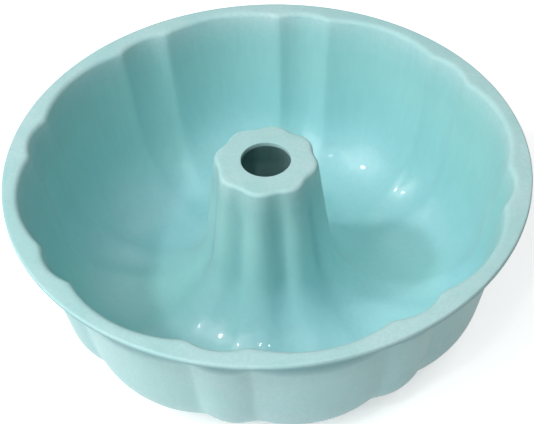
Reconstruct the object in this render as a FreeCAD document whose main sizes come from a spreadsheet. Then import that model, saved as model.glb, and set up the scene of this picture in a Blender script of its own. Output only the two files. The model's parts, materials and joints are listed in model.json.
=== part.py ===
import FreeCAD, Part
import Sketcher
import math
import os

# A fluted silicone ring cake pan, moulded in one piece. It stands on its foot at z = 0, with its axis
# on z and the middle of a narrow flute on +x. Millimetres, and degrees where the note says so.
#
# The pan is an even wall around a ring-shaped cake. A section through that cake runs from the mouth
# down the leaning wall, round the crown to the floor, round the flare and up the tube. Wide and
# narrow flutes follow that section: they stand out of the wall, cross the floor and fade into the
# ribs and valleys of the tube.

doc = FreeCAD.newDocument("ring_cake_pan")
sheet = doc.addObject("Spreadsheet::Sheet", "Sizes")

DRIVING_SIZES = [
    ("panHeight", 85.0, "foot to rim; the top of the tube is level with the rim"),
    ("rimRadius", 120.0, "outside of the flat rim"),
    ("rimThickness", 3.0, "rim, top to underside"),
    ("rimEdgeBevel", 0.8, "bevel around the rim's outer edge, top and bottom"),
    ("mouthRadius", 109.0, "creases between flutes, where the wall would meet the rim's top"),
    ("lipRound", 1.5, "rounding from the rim's top down into the wall"),
    ("wallThickness", 2.0, "silicone wall all over"),
    ("wallDraft", 9.5, "degrees that the wall leans out from upright"),
    ("crownRound", 36.0, "rounding from wall to floor, on the cake's side"),
    ("tubeRadius", 24.0, "ribs of the tube, where its side would meet its top"),
    ("tubeDraft", 7.5, "degrees that the tube's side leans out from upright"),
    ("tubeEdgeRound", 3.5, "rounding of the tube's top edge"),
    ("tubeCapThickness", 2.4, "flat top of the tube"),
    ("boreRadius", 11.5, "round hole through the top of the tube"),
    ("fluteCount", 8, "wide flutes, with a narrow one between each two"),
    ("narrowFluteAngle", 13.5, "degrees around the axis that a narrow flute takes up"),
    ("wideFluteDepth", 4.0, "wide flutes, out of the wall"),
    ("narrowFluteDepth", 3.0, "narrow flutes, out of the wall"),
    ("wideFloorDepth", 1.6, "wide flutes, down from the floor"),
    ("narrowFloorDepth", 0.9, "narrow flutes, down from the floor"),
    ("ribAngle", 28.0, "degrees around the axis that a rib of the tube takes up"),
    ("tubeValleyDepth", 3.2, "valleys between the ribs of the tube"),
    ("footFlat", 0.4, "how much the wide flutes are flattened underneath, to stand on"),
]
for row, (alias, value, note) in enumerate(DRIVING_SIZES, start=1):
    sheet.set(f"A{row}", alias)
    sheet.set(f"B{row}", str(value))
    sheet.set(f"C{row}", note)
    sheet.setAlias(f"B{row}", alias)
doc.recompute()

# The roundings at the mouth and at the top of the tube stop this far over, so that they meet the
# flat top at a clear angle.
EDGE_SWEEP = math.radians(75)

# How many bands the skin has along each stretch of the section.
LIP_BAND_COUNT = 1
WALL_BAND_COUNT = 2
CROWN_BAND_COUNT = 7
FLARE_BAND_COUNT = 7
TUBE_BAND_COUNT = 3
EDGE_BAND_COUNT = 1


def size(alias):
    return float(sheet.get(alias))


class Station:
    """One place along the section: its point on the creases, and how the flutes stand out there.

    turn is the direction they stand out in: 0 outwards, a quarter turn down, a half turn inwards.
    ribbed is how far they have become the ribs and valleys of the tube, from 0 to 1.
    """

    def __init__(self, place, turn, wide, narrow, ribbed=0):
        self.radius, self.height = place
        self.turn = turn
        self.wide = wide
        self.narrow = narrow
        self.ribbed = ribbed

    def at(self, angle, depth):
        radius = self.radius + depth * math.cos(self.turn)
        height = self.height - depth * math.sin(self.turn)
        return FreeCAD.Vector(radius * math.cos(angle), radius * math.sin(angle), height)

    def flute(self, middle, half, creaseDepth, depth):
        """A bow from crease to crease, standing out by depth in its middle."""
        start = self.at(middle - half, creaseDepth)
        end = self.at(middle + half, creaseDepth)
        bow = Part.BezierCurve()
        bow.setPoles([start, self.at(middle, depth) * 2 - (start + end) / 2, end])
        return bow.toShape()

    def ring(self):
        """The narrow flutes widen into the ribs, and the wide ones close up into the valleys."""
        narrowAngle = size("narrowFluteAngle") + (size("ribAngle") - size("narrowFluteAngle")) * self.ribbed
        halfPitch = math.pi / size("fluteCount")
        halfNarrow = math.radians(narrowAngle) / 2
        valley = size("tubeValleyDepth") * self.ribbed
        creaseDepth = valley * halfNarrow / halfPitch
        wideDepth = self.wide + valley
        bows = []
        for index in range(int(size("fluteCount"))):
            middle = 2 * halfPitch * index
            bows.append(self.flute(middle, halfNarrow, creaseDepth, self.narrow))
            bows.append(self.flute(middle + halfPitch, halfPitch - halfNarrow, creaseDepth, wideDepth))
        return Part.Wire(bows)


class Section:
    """The cake's section at the creases. With skin as the wall's thickness, the outside of the pan."""

    def __init__(self, skin):
        self.wallDraft = math.radians(size("wallDraft"))
        self.tubeDraft = math.radians(size("tubeDraft"))
        self.top = size("panHeight")
        self.floor = size("wallThickness") + size("wideFloorDepth") - size("footFlat") - skin
        self.mouth = size("mouthRadius") + skin / math.cos(self.wallDraft)
        self.tube = size("tubeRadius") - skin / math.cos(self.tubeDraft)
        self.crown = size("crownRound") + skin
        self.floorRadius = self.wallAt(self.floor + self.crown) - self.crown / math.cos(self.wallDraft)
        reach = self.floorRadius - self.tubeAt(self.floor)
        self.flare = reach / (1 / math.cos(self.tubeDraft) - math.tan(self.tubeDraft))

    def wallAt(self, height):
        return self.mouth - (self.top - height) * math.tan(self.wallDraft)

    def tubeAt(self, height):
        return self.tube + (self.top - height) * math.tan(self.tubeDraft)

    def onWall(self, place):
        return Station(place, 0, size("wideFluteDepth"), size("narrowFluteDepth"))

    def onTube(self, place):
        return Station(place, math.pi, 0, 0, 1)

    def lip(self):
        """From the rim's flat top down into the wall."""
        round = size("lipRound")
        height = self.top - round * math.sin(EDGE_SWEEP)
        radius = self.wallAt(height) + round / math.cos(self.wallDraft)
        for band in range(LIP_BAND_COUNT + 1):
            lean = EDGE_SWEEP + (self.wallDraft - EDGE_SWEEP) * band / LIP_BAND_COUNT
            yield self.onWall((radius - round * math.cos(lean), height + round * math.sin(lean)))

    def crownArc(self):
        """From the wall round to the floor."""
        height = self.floor + self.crown
        for band in range(CROWN_BAND_COUNT + 1):
            share = band / CROWN_BAND_COUNT
            lean = self.wallDraft + (math.pi / 2 - self.wallDraft) * share
            radius = self.floorRadius + self.crown * math.cos(lean)
            place = (radius, height - self.crown * math.sin(lean))
            wide = size("wideFluteDepth") + (size("wideFloorDepth") - size("wideFluteDepth")) * share
            narrow = size("narrowFluteDepth") + (size("narrowFloorDepth") - size("narrowFluteDepth")) * share
            yield Station(place, math.pi / 2 * share, wide, narrow)

    def flareArc(self):
        """From the floor, where the crown ends, up to the tube. The flutes turn into its ribs."""
        height = self.floor + self.flare
        for band in range(1, FLARE_BAND_COUNT + 1):
            share = band / FLARE_BAND_COUNT
            lean = (math.pi / 2 - self.tubeDraft) * share
            radius = self.floorRadius - self.flare * math.sin(lean)
            place = (radius, height - self.flare * math.cos(lean))
            wide = size("wideFloorDepth") * (1 - share)
            narrow = size("narrowFloorDepth") * (1 - share)
            yield Station(place, math.pi / 2 * (1 + share), wide, narrow, share)

    def tubeEdge(self):
        """From the tube's side up to its flat top."""
        round = size("tubeEdgeRound")
        height = self.top - round * math.sin(EDGE_SWEEP)
        radius = self.tubeAt(height) - round / math.cos(self.tubeDraft)
        for band in range(EDGE_BAND_COUNT + 1):
            lean = self.tubeDraft + (EDGE_SWEEP - self.tubeDraft) * band / EDGE_BAND_COUNT
            yield self.onTube((radius + round * math.cos(lean), height + round * math.sin(lean)))


def straight(first, last, place, bands):
    """The stations between the ends of a straight run, so that a long run keeps its flutes even."""
    for band in range(1, bands):
        share = band / bands
        radius = first.radius + (last.radius - first.radius) * share
        height = first.height + (last.height - first.height) * share
        yield place((radius, height))


def fluted(stations, lids):
    """A closed solid from the rings of the stations, in order, and the faces that close its ends."""
    skin = Part.makeLoft([station.ring() for station in stations], False, True)
    shell = Part.makeShell(skin.Faces + lids)
    shell.sewShape()
    solid = Part.Solid(shell)
    if solid.Volume < 0:
        solid.reverse()
    return solid


def cakeShape():
    section = Section(0)
    lip = list(section.lip())
    crown = list(section.crownArc())
    flare = list(section.flareArc())
    edge = list(section.tubeEdge())
    wall = list(straight(lip[-1], crown[0], section.onWall, WALL_BAND_COUNT))
    tube = list(straight(flare[-1], edge[0], section.onTube, TUBE_BAND_COUNT))
    stations = lip + wall + crown + flare + tube + edge
    mouth = Part.Face(lip[0].ring()).cut(Part.Face(edge[-1].ring()))
    return fluted(stations, mouth.Faces)


def jacketShape():
    section = Section(size("wallThickness"))
    top = section.onWall((section.wallAt(section.top), section.top))
    crown = list(section.crownArc())
    flare = list(section.flareArc())
    roofHeight = section.top - size("tubeCapThickness")
    roof = section.onTube((section.tubeAt(roofHeight), roofHeight))
    wall = list(straight(top, crown[0], section.onWall, WALL_BAND_COUNT))
    tube = list(straight(flare[-1], roof, section.onTube, TUBE_BAND_COUNT))
    stations = [top] + wall + crown + flare + tube + [roof]
    return fluted(stations, [Part.Face(top.ring()), Part.Face(roof.ring())])


def addForm(name, label, shape):
    form = doc.addObject("Part::Feature", name)
    form.Label = label
    form.Shape = shape
    return form


def addCylinder(name, label, **sizes):
    """A cylinder on the axis, its properties bound to expressions over the sizes."""
    cylinder = doc.addObject("Part::Cylinder", name)
    cylinder.Label = label
    cylinder.setExpression("Radius", sizes["radius"])
    cylinder.setExpression("Height", sizes["height"])
    cylinder.setExpression("Placement.Base.z", sizes["base"])
    return cylinder


def addBoolean(kind, name, label, base, tool):
    result = doc.addObject(kind, name)
    result.Label = label
    result.Base = base
    result.Tool = tool
    return result


def rimBody():
    """The flat rim, turned from a sketched section, with its outer edge eased top and bottom."""
    body = doc.addObject("PartDesign::Body", "Rim")
    body.Label = "rim"
    sketch = body.newObject("Sketcher::SketchObject", "RimSection")
    plane = next(p for p in body.Origin.OriginFeatures if p.Role == "XZ_Plane")
    sketch.AttachmentSupport = (plane, "")
    sketch.MapMode = "FlatFace"
    inner, outer = size("mouthRadius"), size("rimRadius")
    bottom, top = size("panHeight") - size("rimThickness"), size("panHeight")
    corners = [(inner, bottom), (outer, bottom), (outer, top), (inner, top)]
    points = [FreeCAD.Vector(x, y, 0) for x, y in corners]
    for start, end in zip(points, points[1:] + points[:1]):
        sketch.addGeometry(Part.LineSegment(start, end), False)
    for side in range(4):
        sketch.addConstraint(Sketcher.Constraint("Coincident", side, 2, (side + 1) % 4, 1))
    for side in (0, 2):
        sketch.addConstraint(Sketcher.Constraint("Horizontal", side))
    for side in (1, 3):
        sketch.addConstraint(Sketcher.Constraint("Vertical", side))
    dimensions = [
        ("DistanceX", 0, 1, inner, "Sizes.mouthRadius"),
        ("DistanceX", 0, 2, outer, "Sizes.rimRadius"),
        ("DistanceY", 2, 1, top, "Sizes.panHeight"),
    ]
    for kind, line, end, value, source in dimensions:
        index = sketch.addConstraint(Sketcher.Constraint(kind, -1, 1, line, end, value))
        sketch.setExpression(f"Constraints[{index}]", source)
    index = sketch.addConstraint(Sketcher.Constraint("DistanceY", 1, 1, 1, 2, top - bottom))
    sketch.setExpression(f"Constraints[{index}]", "Sizes.rimThickness")
    ring = body.newObject("PartDesign::Revolution", "RimRing")
    ring.Profile = sketch
    ring.ReferenceAxis = (sketch, ["V_Axis"])
    ring.Angle = 360
    doc.recompute()
    outerEdges = [
        f"Edge{number}"
        for number, edge in enumerate(ring.Shape.Edges, start=1)
        if isinstance(edge.Curve, Part.Circle) and abs(edge.Curve.Radius - outer) < 1e-6
    ]
    eased = body.newObject("PartDesign::Chamfer", "RimEdge")
    eased.Base = (ring, outerEdges)
    eased.setExpression("Size", "Sizes.rimEdgeBevel")
    return body


def panSolid():
    """The wall around the cake, the rim around its mouth and the hole in the tube, as one solid."""
    jacket = addForm("Jacket", "outside_form", jacketShape())
    cake = addForm("Cake", "cake_form", cakeShape())
    blank = addBoolean("Part::Fuse", "Blank", "blank", jacket, rimBody())
    hollowed = addBoolean("Part::Cut", "Hollowed", "hollowed", blank, cake)
    bore = addCylinder(
        "Bore",
        "bore",
        radius="Sizes.boreRadius",
        height="Sizes.tubeCapThickness * 3",
        base="Sizes.panHeight - Sizes.tubeCapThickness * 2",
    )
    bored = addBoolean("Part::Cut", "Bored", "bored", hollowed, bore)
    belowFoot = addCylinder(
        "BelowFoot",
        "below_foot",
        radius="Sizes.mouthRadius",
        height="Sizes.wideFloorDepth",
        base="-Sizes.wideFloorDepth",
    )
    return addBoolean("Part::Cut", "CakePan", "cake_pan", bored, belowFoot)


def checked(feature):
    """The feature's shape, after a look at every object's state, its own shape and its one solid."""
    doc.recompute()
    for item in doc.Objects:
        if "Invalid" in item.State or "Error" in item.State:
            raise RuntimeError(f"{item.Label} failed: {item.State}")
    shape = feature.Shape
    if shape.isNull() or not shape.isValid():
        raise RuntimeError(f"{feature.Label} has no valid shape")
    if len(shape.Solids) != 1:
        raise RuntimeError(f"{feature.Label} holds {len(shape.Solids)} solids, not one")
    return shape.Solids[0]


pan = panSolid()
pan.Placement = FreeCAD.Placement()
solid = checked(pan)
box = solid.optimalBoundingBox()
print(f"cake_pan {box.XLength:.1f} x {box.YLength:.1f} x {box.ZLength:.1f} mm, {solid.Volume / 1000:.1f} cm3")

os.makedirs("parts", exist_ok=True)
solid.exportStep(os.path.join("parts", f"{pan.Label}.step"))
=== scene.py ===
import json
import math
import bmesh
import bpy
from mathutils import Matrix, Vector


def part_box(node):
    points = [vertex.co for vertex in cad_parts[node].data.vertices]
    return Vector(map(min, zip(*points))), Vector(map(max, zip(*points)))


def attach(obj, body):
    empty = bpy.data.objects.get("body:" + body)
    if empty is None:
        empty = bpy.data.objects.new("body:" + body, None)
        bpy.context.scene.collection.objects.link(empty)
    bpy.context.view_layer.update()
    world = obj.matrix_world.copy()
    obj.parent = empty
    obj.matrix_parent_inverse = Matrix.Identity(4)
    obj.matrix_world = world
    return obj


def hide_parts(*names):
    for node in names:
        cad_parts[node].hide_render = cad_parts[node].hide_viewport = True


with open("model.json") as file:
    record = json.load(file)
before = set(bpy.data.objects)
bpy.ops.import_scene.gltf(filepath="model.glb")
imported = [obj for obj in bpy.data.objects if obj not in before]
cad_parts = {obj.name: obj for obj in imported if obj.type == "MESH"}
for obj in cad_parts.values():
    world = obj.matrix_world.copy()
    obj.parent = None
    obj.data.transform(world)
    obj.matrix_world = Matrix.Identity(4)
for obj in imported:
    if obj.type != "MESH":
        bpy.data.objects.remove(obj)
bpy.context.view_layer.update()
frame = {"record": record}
bpy.ops.object.select_all(action="DESELECT")

mm = 0.001
panNode = "cake_pan"
lowCorner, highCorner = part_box(panNode)
tubeHole = next(mount for mount in frame["record"]["mounts"] if mount["name"] == "tube_hole")

# the moulding, in millimetres and degrees; radii are those of the creases between the flutes
pan = dict(
    height=highCorner.z / mm,
    rimRadius=(highCorner.x - lowCorner.x) / 2 / mm,
    rimThickness=3.0,
    rimEdgeRound=0.8,
    mouthRadius=109.0,
    lipRound=3.0,
    wallThickness=2.0,
    wallDraft=9.5,
    crownRound=36.0,          # where the wall turns into the floor
    tubeRadius=24.0,
    tubeDraft=7.5,
    tubeEdgeRound=2.2,
    tubeCap=tubeHole["dims"]["length_mm"],
    boreRadius=tubeHole["dims"]["r_mm"],
    boreEdgeRound=0.3,
    cornerRound=0.8,          # inside corners, under the rim and under the tube's cap
    flutes=8,
    narrowAngle=13.5,
    wideDepth=4.0,
    narrowDepth=3.0,
    wideFloorDepth=1.6,
    narrowFloorDepth=0.9,
    ribAngle=28.0,            # as wide as a narrow flute gets on the tube
    tubeValley=4.0,
    topValleyShare=0.45,      # how much of that is left at the tube's top
    valleyFade=24.0,
    footFlat=0.4,             # how much the wide flutes are flattened underneath
    wallCrease=0.6,           # degrees each way over which a crease turns, on the wall
    floorCrease=3.0,          # and on the floor
    polishOutside=0.22,       # how glossy the outside is, where the floor is 1
    polishTube=0.75,
    filmReach=15.0,           # how far down inside the matt film of the rim thins out
    foldShadeDepth=11.0,           # how far down from under the rim the wall gets painted shade
    foldShadeFade=5.0,
    rimFoldShade=0.85,             # how much painted shade the rim's lower edge gets
    valleyFoldShade=0.5,           # and how much the tube's valleys get
    valleyShadePower=4,        # the higher, the more it keeps to the bottom of a valley
    narrowColumns=10,         # columns of faces on a narrow flute, before subdivision
    wideColumns=18,
    columnGather=70,          # the higher, the closer the columns stand beside the creases
    wallSteps=6,              # rows of faces along the section, before subdivision
    crownSteps=9,
    flareSteps=9,
    tubeSteps=5,
    capSteps=4,
    roofSteps=3,
    rimSteps=3,
    lipSteps=4,
    tubeEdgeSteps=5,
    rimEdgeSteps=4,
    boreEdgeSteps=3,
    cornerSteps=3,
)


def mix(low, high, share):
    return low + (high - low) * share


def evenly(low, high, steps):
    # the steps after low, up to high
    return [mix(low, high, step / steps) for step in range(1, steps + 1)]


def between(low, high, steps):
    # the same without high
    return evenly(low, high, steps)[:-1]


def ringAt(radius, height, turn=0.0, wide=0.0, narrow=0.0, valley=0.0, ribbed=0.0, polish=0.0):
    # turn is where the flutes stand out to, in degrees: 0 outwards, 90 down, 180 inwards
    # ribbed is how far they have become the tube's ribs, polish how glossy the mould left the skin
    # soft is how wide the creases turn, and the last key how much shade is painted into the skin where it
    # lies in a fold
    soft = mix(pan["wallCrease"], pan["floorCrease"], min(turn / 90, 1))
    return dict(radius=radius, height=height, turn=math.radians(turn), wide=wide, narrow=narrow,
                valley=valley, ribbed=ribbed, polish=polish, soft=soft, foldShade=0.0)


def halfNarrowAngle(ring):
    return mix(pan["narrowAngle"], pan["ribAngle"], ring["ribbed"]) / 2


def columnAngle(column, ring):
    # columns follow the creases, so a narrow flute keeps its own where it widens into a rib
    pitch, half = 360 / pan["flutes"], halfNarrowAngle(ring)
    narrow, wide = pan["narrowColumns"], pan["wideColumns"]
    flute, place = divmod(column + narrow / 2, narrow + wide)
    middle, share = flute * pitch, 2 * place / narrow - 1
    if place > narrow:
        middle, half, share = middle + pitch / 2, pitch / 2 - half, 2 * (place - narrow) / wide - 1
    gather = math.radians(pan["columnGather"])
    return middle + half * math.sin(share * gather) / math.sin(gather)


def fluteDepth(angle, ring):
    # how far the skin stands out of the creases' circle, in a curve from crease to peak
    pitch, halfNarrow = 360 / pan["flutes"], halfNarrowAngle(ring)
    halfPitch = pitch / 2
    fromNarrow = abs((angle + halfPitch) % pitch - halfPitch)
    crease = ring["valley"] * halfNarrow / halfPitch
    if fromNarrow > halfNarrow:
        peak, share = ring["wide"] + ring["valley"], (halfPitch - fromNarrow) / (halfPitch - halfNarrow)
    else:
        peak, share = ring["narrow"], fromNarrow / halfNarrow
    return mix(peak, crease, share ** 2)


def softDepth(angle, ring):
    # the same with its creases rounded, as the mean of places to both sides
    steps = (-1.0, -0.5, 0.0, 0.5, 1.0)
    return sum(fluteDepth(angle + ring["soft"] * step, ring) for step in steps) / len(steps)


def sectionLines(skin):
    # the lines that one side of the wall follows: skin is 0 on the cake's side
    wall, tube = math.radians(pan["wallDraft"]), math.radians(pan["tubeDraft"])
    floor = pan["wallThickness"] + pan["wideFloorDepth"] - pan["footFlat"] - skin
    mouth = pan["mouthRadius"] + skin / math.cos(wall)
    tubeTop = pan["tubeRadius"] - skin / math.cos(tube)
    crown = pan["crownRound"] + skin
    floorRadius = mouth - (pan["height"] - floor - crown) * math.tan(wall) - crown / math.cos(wall)
    reach = floorRadius - tubeTop - (pan["height"] - floor) * math.tan(tube)
    flare = reach / (1 / math.cos(tube) - math.tan(tube))
    return dict(wall=wall, tube=tube, floor=floor, mouth=mouth, tubeTop=tubeTop, crown=crown,
                floorRadius=floorRadius, flare=flare, polish=pan["polishOutside"] if skin else 1.0)


def wallRadius(lines, height):
    return lines["mouth"] - (pan["height"] - height) * math.tan(lines["wall"])


def tubeRadius(lines, height):
    return lines["tubeTop"] + (pan["height"] - height) * math.tan(lines["tube"])


def wallRing(radius, height, share=1.0, polish=0.0):
    return ringAt(radius, height, 0, pan["wideDepth"] * share, pan["narrowDepth"] * share, polish=polish)


def tubeRing(radius, height, share=1.0, polish=0.0):
    rise = max(1 - (pan["height"] - height) / pan["valleyFade"], 0)
    eased = rise * rise * (3 - 2 * rise)
    valley = pan["tubeValley"] * mix(1, pan["topValleyShare"], eased)
    return ringAt(radius, height, 180, valley=valley * share, ribbed=1.0,
                  polish=polish * pan["polishTube"])


def boreRing(radius, height):
    return tubeRing(radius, height, 0)


def crownRing(lines, share):
    # 0 at the wall, 1 at the floor
    lean = mix(lines["wall"], math.pi / 2, share)
    height = lines["floor"] + lines["crown"] * (1 - math.sin(lean))
    radius = lines["floorRadius"] + lines["crown"] * math.cos(lean)
    wide = mix(pan["wideDepth"], pan["wideFloorDepth"], share)
    narrow = mix(pan["narrowDepth"], pan["narrowFloorDepth"], share)
    return ringAt(radius, height, 90 * share, wide, narrow, polish=lines["polish"])


def flareRing(lines, share):
    # 0 at the floor, 1 at the tube
    lean = (math.pi / 2 - lines["tube"]) * share
    height = lines["floor"] + lines["flare"] * (1 - math.cos(lean))
    radius = lines["floorRadius"] - lines["flare"] * math.sin(lean)
    wide, narrow = pan["wideFloorDepth"] * (1 - share), pan["narrowFloorDepth"] * (1 - share)
    polish = lines["polish"] * mix(1, pan["polishTube"], share)
    return ringAt(radius, height, 90 * (1 + share), wide, narrow, pan["tubeValley"] * share, share, polish)


def skinRings(lines, wallTop, tubeTop, inwards):
    # the fluted skin between the rings at its two ends
    wallFoot, tubeFoot = crownRing(lines, 0), flareRing(lines, 1)
    wall = []
    for height in evenly(wallTop["height"], wallFoot["height"], pan["wallSteps"]):
        bared = min((pan["height"] - height) / pan["filmReach"], 1)
        wall.append(wallRing(wallRadius(lines, height), height, polish=lines["polish"] * bared))
    crown = [crownRing(lines, share) for share in evenly(0, 1, pan["crownSteps"])]
    flare = [flareRing(lines, share) for share in evenly(0, 1, pan["flareSteps"])]
    tube = [tubeRing(tubeRadius(lines, height), height, polish=lines["polish"])
            for height in between(tubeFoot["height"], tubeTop["height"], pan["tubeSteps"])]
    rings = wall + crown + flare + tube
    return rings if inwards else rings[::-1]


def arcRings(make, radius, height, bend, start, end, steps):
    # round a corner from one lean to the other
    leans = [math.radians(lean) for lean in [start] + evenly(start, end, steps)]
    return [make(radius + bend * math.cos(lean), height + bend * math.sin(lean)) for lean in leans]


def cakeSideRings():
    # from the hole's upper edge down the tube, over the floor, up the wall and out over the rim
    top, ease, edge, lip = pan["height"], pan["boreEdgeRound"], pan["tubeEdgeRound"], pan["lipRound"]
    lines = sectionLines(0)
    holeEdge = arcRings(boreRing, pan["boreRadius"] + ease, top - ease, ease, 180, 90,
                        pan["boreEdgeSteps"])
    edgeRadius = tubeRadius(lines, top - edge) - edge / math.cos(lines["tube"])
    cap = [tubeRing(mix(holeEdge[-1]["radius"], edgeRadius, share), top, share)
           for share in between(0, 1, pan["capSteps"])]
    tubeEdge = arcRings(tubeRing, edgeRadius, top - edge, edge, 90, pan["tubeDraft"],
                        pan["tubeEdgeSteps"])
    lipRadius = wallRadius(lines, top - lip) + lip / math.cos(lines["wall"])
    mouthLip = arcRings(wallRing, lipRadius, top - lip, lip, 180 - pan["wallDraft"], 90,
                        pan["lipSteps"])
    skin = skinRings(lines, mouthLip[0], tubeEdge[-1], inwards=False)
    rimRadius = pan["rimRadius"] - pan["rimEdgeRound"]
    rim = [wallRing(mix(lipRadius, rimRadius, share), top, 1 - share)
           for share in between(0, 1, pan["rimSteps"])]
    return holeEdge + cap + tubeEdge + skin + mouthLip + rim


def outsideRings():
    # from the rim's edge down the wall, under the floor and up the hollow to the hole's lower edge
    top, ease, corner = pan["height"], pan["rimEdgeRound"], pan["cornerRound"]
    lines = sectionLines(pan["wallThickness"])
    rimRadius, rimFoot = pan["rimRadius"] - ease, top - pan["rimThickness"]
    rimEdge = arcRings(ringAt, rimRadius, top - ease, ease, 90, 0, pan["rimEdgeSteps"])
    rimFootEdge = arcRings(ringAt, rimRadius, rimFoot + ease, ease, 0, -90, pan["rimEdgeSteps"])
    # painted shade on the rim's lower edge
    for ring in rimFootEdge:
        ring["foldShade"] = pan["rimFoldShade"]
    cornerRadius = wallRadius(lines, rimFoot - corner) + corner / math.cos(lines["wall"])
    underRim = arcRings(wallRing, cornerRadius, rimFoot - corner, corner, 90, 180 - pan["wallDraft"],
                        pan["cornerSteps"])
    foldShadeFoot = rimFoot - pan["foldShadeDepth"]
    fadeFoot = foldShadeFoot - pan["foldShadeFade"]
    underRim += [wallRing(wallRadius(lines, height), height) for height in (foldShadeFoot, fadeFoot)]
    # painted shade on the wall just under the rim, fading out over the last ring
    for ring in underRim[:-1]:
        ring["foldShade"] = 1.0
    roof, ease = top - pan["tubeCap"], pan["boreEdgeRound"]
    roofRadius = tubeRadius(lines, roof - corner) - corner / math.cos(lines["tube"])
    hollowTop = arcRings(tubeRing, roofRadius, roof - corner, corner, pan["tubeDraft"], 90,
                         pan["cornerSteps"])
    skin = skinRings(lines, underRim[-1], hollowTop[0], inwards=True)
    holeFoot = arcRings(boreRing, pan["boreRadius"] + ease, roof + ease, ease, 270, 180,
                        pan["boreEdgeSteps"])
    cap = [tubeRing(mix(roofRadius, holeFoot[0]["radius"], share), roof, 1 - share)
           for share in between(0, 1, pan["roofSteps"])]
    return rimEdge + rimFootEdge + underRim + skin + hollowTop + cap + holeFoot


def placeRing(ring):
    # sets the selected corners on their columns and pushes the flutes out of the circle
    slack = 0.001    # radians, so that the column at 0 degrees always comes first
    mesh = bmesh.from_edit_mesh(bpy.context.object.data)
    polish, foldShade = mesh.verts.layers.float["polish"], mesh.verts.layers.float["foldShade"]
    corners = [corner for corner in mesh.verts if corner.select]
    corners.sort(key=lambda corner: (math.atan2(corner.co.y, corner.co.x) + slack) % math.tau)
    for column, corner in enumerate(corners):
        angle = columnAngle(column, ring)
        depth, around = softDepth(angle, ring), math.radians(angle)
        radius = ring["radius"] + depth * math.cos(ring["turn"])
        height = max(ring["height"] - depth * math.sin(ring["turn"]), 0)
        corner.co = Vector((radius * math.cos(around), radius * math.sin(around), height)) * mm
        corner[polish] = ring["polish"]
        # painted shade: the ring's own, and more towards the bottom of the tube's valleys
        valleyShare = (depth / pan["tubeValley"]) ** pan["valleyShadePower"]
        corner[foldShade] = ring["foldShade"] + ring["ribbed"] * pan["valleyFoldShade"] * valleyShare
    bmesh.update_edit_mesh(bpy.context.object.data)


def makePan(material):
    rings = cakeSideRings() + outsideRings()
    first = rings[0]
    columns = pan["flutes"] * (pan["narrowColumns"] + pan["wideColumns"])
    bpy.ops.mesh.primitive_circle_add(vertices=columns, radius=first["radius"] * mm,
                                      location=(0, 0, first["height"] * mm))
    bpy.ops.object.transform_apply(location=True, rotation=False, scale=False)
    piece = bpy.context.object
    piece.name = "fluted_pan"
    piece.data.materials.append(material)
    # polish is how glossy the skin is, the other how much shade is painted in
    for name in ("polish", "foldShade"):
        piece.data.attributes.new(name, "FLOAT", "POINT")
    bpy.ops.object.mode_set(mode="EDIT")
    bpy.ops.mesh.select_mode(type="EDGE")
    bpy.ops.mesh.select_all(action="SELECT")
    placeRing(first)
    for before, ring in zip(rings, rings[1:]):
        rise = (ring["height"] - before["height"]) * mm
        bpy.ops.mesh.extrude_region_move(TRANSFORM_OT_translate={"value": (0, 0, rise)})
        placeRing(ring)
    bpy.ops.mesh.select_all(action="DESELECT")
    bpy.ops.mesh.select_non_manifold(extend=False)
    bpy.ops.mesh.bridge_edge_loops()
    bpy.ops.mesh.select_all(action="SELECT")
    bpy.ops.mesh.normals_make_consistent(inside=False)
    bpy.ops.object.mode_set(mode="OBJECT")
    rounding = piece.modifiers.new("rounding", "SUBSURF")
    rounding.levels = rounding.render_levels = 1
    bpy.ops.object.modifier_apply(modifier=rounding.name)
    bpy.ops.object.shade_smooth()
    print("pan:", len(rings), "rings,", len(piece.data.polygons), "faces")
    return piece


def addNode(tree, kind, inputs=None, **settings):
    # a node with its settings, and its inputs set or linked
    node = tree.nodes.new(kind)
    for name, value in settings.items():
        setattr(node, name, value)
    for key, value in (inputs or {}).items():
        if isinstance(value, bpy.types.NodeSocket):
            tree.links.new(value, node.inputs[key])
        else:
            node.inputs[key].default_value = value
    return node


def addNoise(tree, place, size, detail, stretch=(1, 1, 1)):
    # noise with features of about this size in metres, from 0 to 1
    placed = addNode(tree, "ShaderNodeMapping", {"Vector": place, "Scale": stretch})
    noise = addNode(tree, "ShaderNodeTexNoise", {
        "Vector": placed.outputs[0], "Scale": 1 / size, "Detail": detail})
    return noise.outputs["Fac"]


def addRange(tree, value, fromLow, fromHigh, toLow=0.0, toHigh=1.0):
    ranged = addNode(tree, "ShaderNodeMapRange", {
        "Value": value, "From Min": fromLow, "From Max": fromHigh, "To Min": toLow, "To Max": toHigh})
    return ranged.outputs[0]


def addMath(tree, operation, first, second):
    return addNode(tree, "ShaderNodeMath", {0: first, 1: second}, operation=operation).outputs[0]


def addColourMix(tree, share, first, second, blend="MIX"):
    # a Mix node keeps its colours at inputs 6 and 7, and their mix at output 2
    mixed = addNode(tree, "ShaderNodeMix", {0: share, 6: first, 7: second},
                    data_type="RGBA", blend_type=blend)
    return mixed.outputs[2]


def newMaterial(name):
    material = bpy.data.materials.new(name)
    material.use_nodes = True
    tree = material.node_tree
    return material, tree, tree.nodes["Principled BSDF"]
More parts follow.
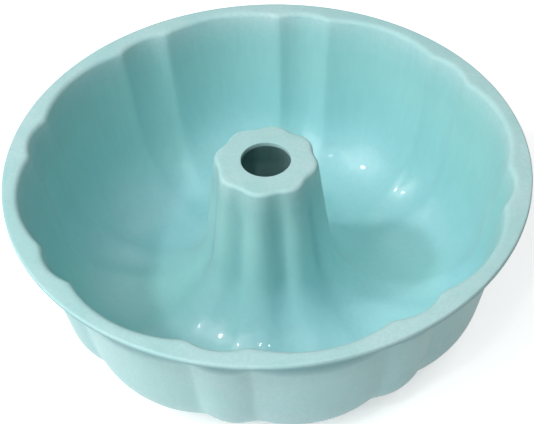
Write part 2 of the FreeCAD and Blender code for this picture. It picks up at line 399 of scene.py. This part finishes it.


# moulded silicone, glossy where the mould was polished, with shade painted into its folds; sizes in metres
silicone = dict(
    colour=(0.34, 0.70, 0.68, 1),
    coolColour=(0.31, 0.66, 0.70, 1),     # bluer in patches, most on the floor
    coolSize=0.07,
    coolNoise=(0.3, 0.6),
    coolFoot=0.015,                       # below this height all of it shows
    coolHead=0.055,
    coolAbove=0.35,                       # and above that one this share
    bloomColour=(0.66, 0.87, 0.88, 1),    # the pale film that silicone gets
    bloomMatt=0.84,
    bloomPolished=0.1,
    cloudSize=0.033,                      # the film is thinner between its clouds and flecks
    cloudNoise=(0.32, 0.68),
    cloudLeast=0.45,
    fleckSize=0.0016,
    fleckNoise=(0.3, 0.75),
    fleckLeast=0.6,
    foldShadeColour=(0.12, 0.36, 0.40, 1),     # painted shade: dark and without the pale film, in the fold under the rim and between the ribs
    foldShadeShare=0.75,
    streakSize=0.003,
    streakStretch=(1, 1, 0.08),
    streakNoise=(0.35, 0.65),
    streakShare=0.025,
    roughnessMatt=0.62,
    roughnessPolished=0.42,
    roughnessSpread=0.08,
    coatPolished=0.25,
    coatRoughness=0.06,
    grainSize=0.0007,
    grainDepth=0.00003,
    peelSize=0.0045,
    peelDepth=0.0002,
    sheen=0.15,
    sheenRoughness=0.5,
)


def makeSilicone():
    look = silicone
    material, tree, shader = newMaterial("silicone")
    place = addNode(tree, "ShaderNodeTexCoord").outputs["Object"]
    polish = addNode(tree, "ShaderNodeAttribute", attribute_name="polish").outputs["Fac"]
    foldShade = addNode(tree, "ShaderNodeAttribute", attribute_name="foldShade").outputs["Fac"]
    height = addNode(tree, "ShaderNodeSeparateXYZ", {0: place}).outputs["Z"]
    clouds = addNoise(tree, place, look["cloudSize"], detail=4)
    clouds = addRange(tree, clouds, *look["cloudNoise"])
    flecks = addNoise(tree, place, look["fleckSize"], detail=3)
    flecks = addRange(tree, flecks, *look["fleckNoise"])
    streaks = addNoise(tree, place, look["streakSize"], detail=3, stretch=look["streakStretch"])
    streaks = addRange(tree, streaks, *look["streakNoise"])
    cool = addNoise(tree, place, look["coolSize"], detail=2)
    cool = addRange(tree, cool, *look["coolNoise"])
    lowDown = addRange(tree, height, look["coolFoot"], look["coolHead"], 1, look["coolAbove"])
    cool = addMath(tree, "MULTIPLY", cool, lowDown)
    film = addRange(tree, polish, 0, 1, look["bloomMatt"], look["bloomPolished"])
    film = addMath(tree, "MULTIPLY", film, addRange(tree, clouds, 0, 1, look["cloudLeast"], 1.0))
    film = addMath(tree, "MULTIPLY", film, addRange(tree, flecks, 0, 1, look["fleckLeast"], 1.0))
    colour = addColourMix(tree, cool, look["colour"], look["coolColour"])
    colour = addColourMix(tree, film, colour, look["bloomColour"])
    # painted shade, dark and bare of the film, in the fold under the rim and in the tube's valleys
    foldShade = addMath(tree, "MULTIPLY", foldShade, look["foldShadeShare"])
    colour = addColourMix(tree, foldShade, colour, look["foldShadeColour"])
    shade = addRange(tree, streaks, 0, 1, 1 - look["streakShare"], 1.0)
    tree.links.new(addColourMix(tree, 1.0, colour, shade, "MULTIPLY"), shader.inputs["Base Color"])
    rough = addRange(tree, polish, 0, 1, look["roughnessMatt"], look["roughnessPolished"])
    spread = addRange(tree, clouds, 0, 1, -look["roughnessSpread"], look["roughnessSpread"])
    tree.links.new(addMath(tree, "ADD", rough, spread), shader.inputs["Roughness"])
    tree.links.new(addRange(tree, polish, 0, 1, 0, look["coatPolished"]), shader.inputs["Coat Weight"])
    shader.inputs["Coat Roughness"].default_value = look["coatRoughness"]
    shader.inputs["Sheen Weight"].default_value = look["sheen"]
    shader.inputs["Sheen Roughness"].default_value = look["sheenRoughness"]
    peel = addNode(tree, "ShaderNodeBump", {
        "Height": addNoise(tree, place, look["peelSize"], detail=1), "Distance": look["peelDepth"]})
    grain = addNode(tree, "ShaderNodeBump", {
        "Height": addNoise(tree, place, look["grainSize"], detail=2), "Distance": look["grainDepth"],
        "Normal": peel.outputs[0]})
    tree.links.new(grain.outputs[0], shader.inputs["Normal"])
    print("silicone:", len(tree.nodes), "nodes")
    return material


# the pale surface that the pan stands on, and the white around it
studio = dict(
    floorSize=6.0,
    floorColour=(0.8, 0.8, 0.8, 1),
    floorRoughness=0.9,
    floorSpecular=0.1,
    floorGlow=0.7,            # added where the camera or a reflection sees the floor
    glowFrom=0.05,            # none of it under the pan and less towards its foot, in metres from its axis; this paints shade there
    glowTo=0.1,
    farGlow=0.3,              # and more far away, where the lamps are weak
    farFrom=0.4,
    farTo=2.0,
    skyLight=0.03,
)


def addSeen(tree):
    # 1 where the camera, a reflection or a refraction looks, 0 for the light that falls on things
    rays = addNode(tree, "ShaderNodeLightPath").outputs
    seen = addMath(tree, "ADD", rays["Is Camera Ray"], rays["Is Glossy Ray"])
    return addMath(tree, "ADD", seen, rays["Is Transmission Ray"])


def makeFloor():
    bpy.ops.mesh.primitive_plane_add(size=studio["floorSize"], location=(0, 0, 0))
    floor = bpy.context.object
    floor.name = "floor"
    material, tree, shader = newMaterial("paleFloor")
    shader.inputs["Base Color"].default_value = studio["floorColour"]
    shader.inputs["Roughness"].default_value = studio["floorRoughness"]
    shader.inputs["Specular IOR Level"].default_value = studio["floorSpecular"]
    place = addNode(tree, "ShaderNodeTexCoord").outputs["Object"]
    fromAxis = addNode(tree, "ShaderNodeVectorMath", {0: place}, operation="LENGTH").outputs["Value"]
    # painted shade: the glow fades out towards the pan, under it and at its foot
    near = addRange(tree, fromAxis, studio["glowFrom"], studio["glowTo"], 0, studio["floorGlow"])
    far = addRange(tree, fromAxis, studio["farFrom"], studio["farTo"], 0, studio["farGlow"])
    glow = addMath(tree, "MULTIPLY", addSeen(tree), addMath(tree, "ADD", near, far))
    emission = addNode(tree, "ShaderNodeEmission", {"Color": (1, 1, 1, 1), "Strength": glow})
    both = addNode(tree, "ShaderNodeAddShader", {0: shader.outputs[0], 1: emission.outputs[0]})
    tree.links.new(both.outputs[0], tree.nodes["Material Output"].inputs["Surface"])
    floor.data.materials.append(material)
    print("floor:", studio["floorSize"], "m")


def makeSky():
    sky = bpy.data.worlds.new("studio")
    bpy.context.scene.world = sky
    sky.use_nodes = True
    tree = sky.node_tree
    background = tree.nodes["Background"]
    background.inputs["Color"].default_value = (1, 1, 1, 1)
    strength = addRange(tree, addSeen(tree), 0, 1, studio["skyLight"], 1.0)
    tree.links.new(strength, background.inputs["Strength"])
    print("sky:", studio["skyLight"])


# where each lamp stands around the pan, in degrees and metres, with its power in watts
lamps = dict(
    key=dict(around=-142, above=46, away=1.5, size=1.2, power=10.9),
    front=dict(around=-102, above=34, away=1.5, size=1.0, power=3.8),
    high=dict(around=-125, above=75, away=1.5, size=1.2, power=1.8),
    back=dict(around=75, above=60, away=1.5, size=0.9, power=1.5),
    glintLeft=dict(around=-156, above=54, away=1.5, size=0.13, power=4.4),
    glintFront=dict(around=-94, above=61, away=1.5, size=0.07, power=1.6),
    glintRight=dict(around=-48, above=61, away=1.5, size=0.06, power=1.0),
)


def makeLamps():
    for name, lamp in lamps.items():
        around, above = math.radians(lamp["around"]), math.radians(lamp["above"])
        flat = math.cos(above)
        place = Vector((flat * math.cos(around), flat * math.sin(around), math.sin(above))) * lamp["away"]
        facing = place.to_track_quat("Z", "Y").to_euler()
        bpy.ops.object.light_add(type="AREA", location=place, rotation=facing)
        light = bpy.context.object
        light.name = name
        light.data.shape = "DISK"
        light.data.size = lamp["size"]
        light.data.energy = lamp["power"]
    print("lamps:", len(lamps))


# in metres and degrees, the lens in millimetres
camera = dict(
    location=(0.09044, -0.42801, 0.48458),
    tilt=(45.239, 1.734, 10.281),
    lens=87.64,
    clipStart=0.01,
)


def makeCamera():
    tilt = [math.radians(turn) for turn in camera["tilt"]]
    bpy.ops.object.camera_add(location=camera["location"], rotation=tilt)
    view = bpy.context.object
    view.data.lens = camera["lens"]
    view.data.clip_start = camera["clipStart"]
    bpy.context.scene.camera = view
    print("camera:", camera["lens"], "mm")


piece = makePan(makeSilicone())
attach(piece, "root")
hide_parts(panNode)
makeFloor()
makeSky()
makeLamps()
makeCamera()
bpy.context.scene.view_settings.view_transform = "Standard"
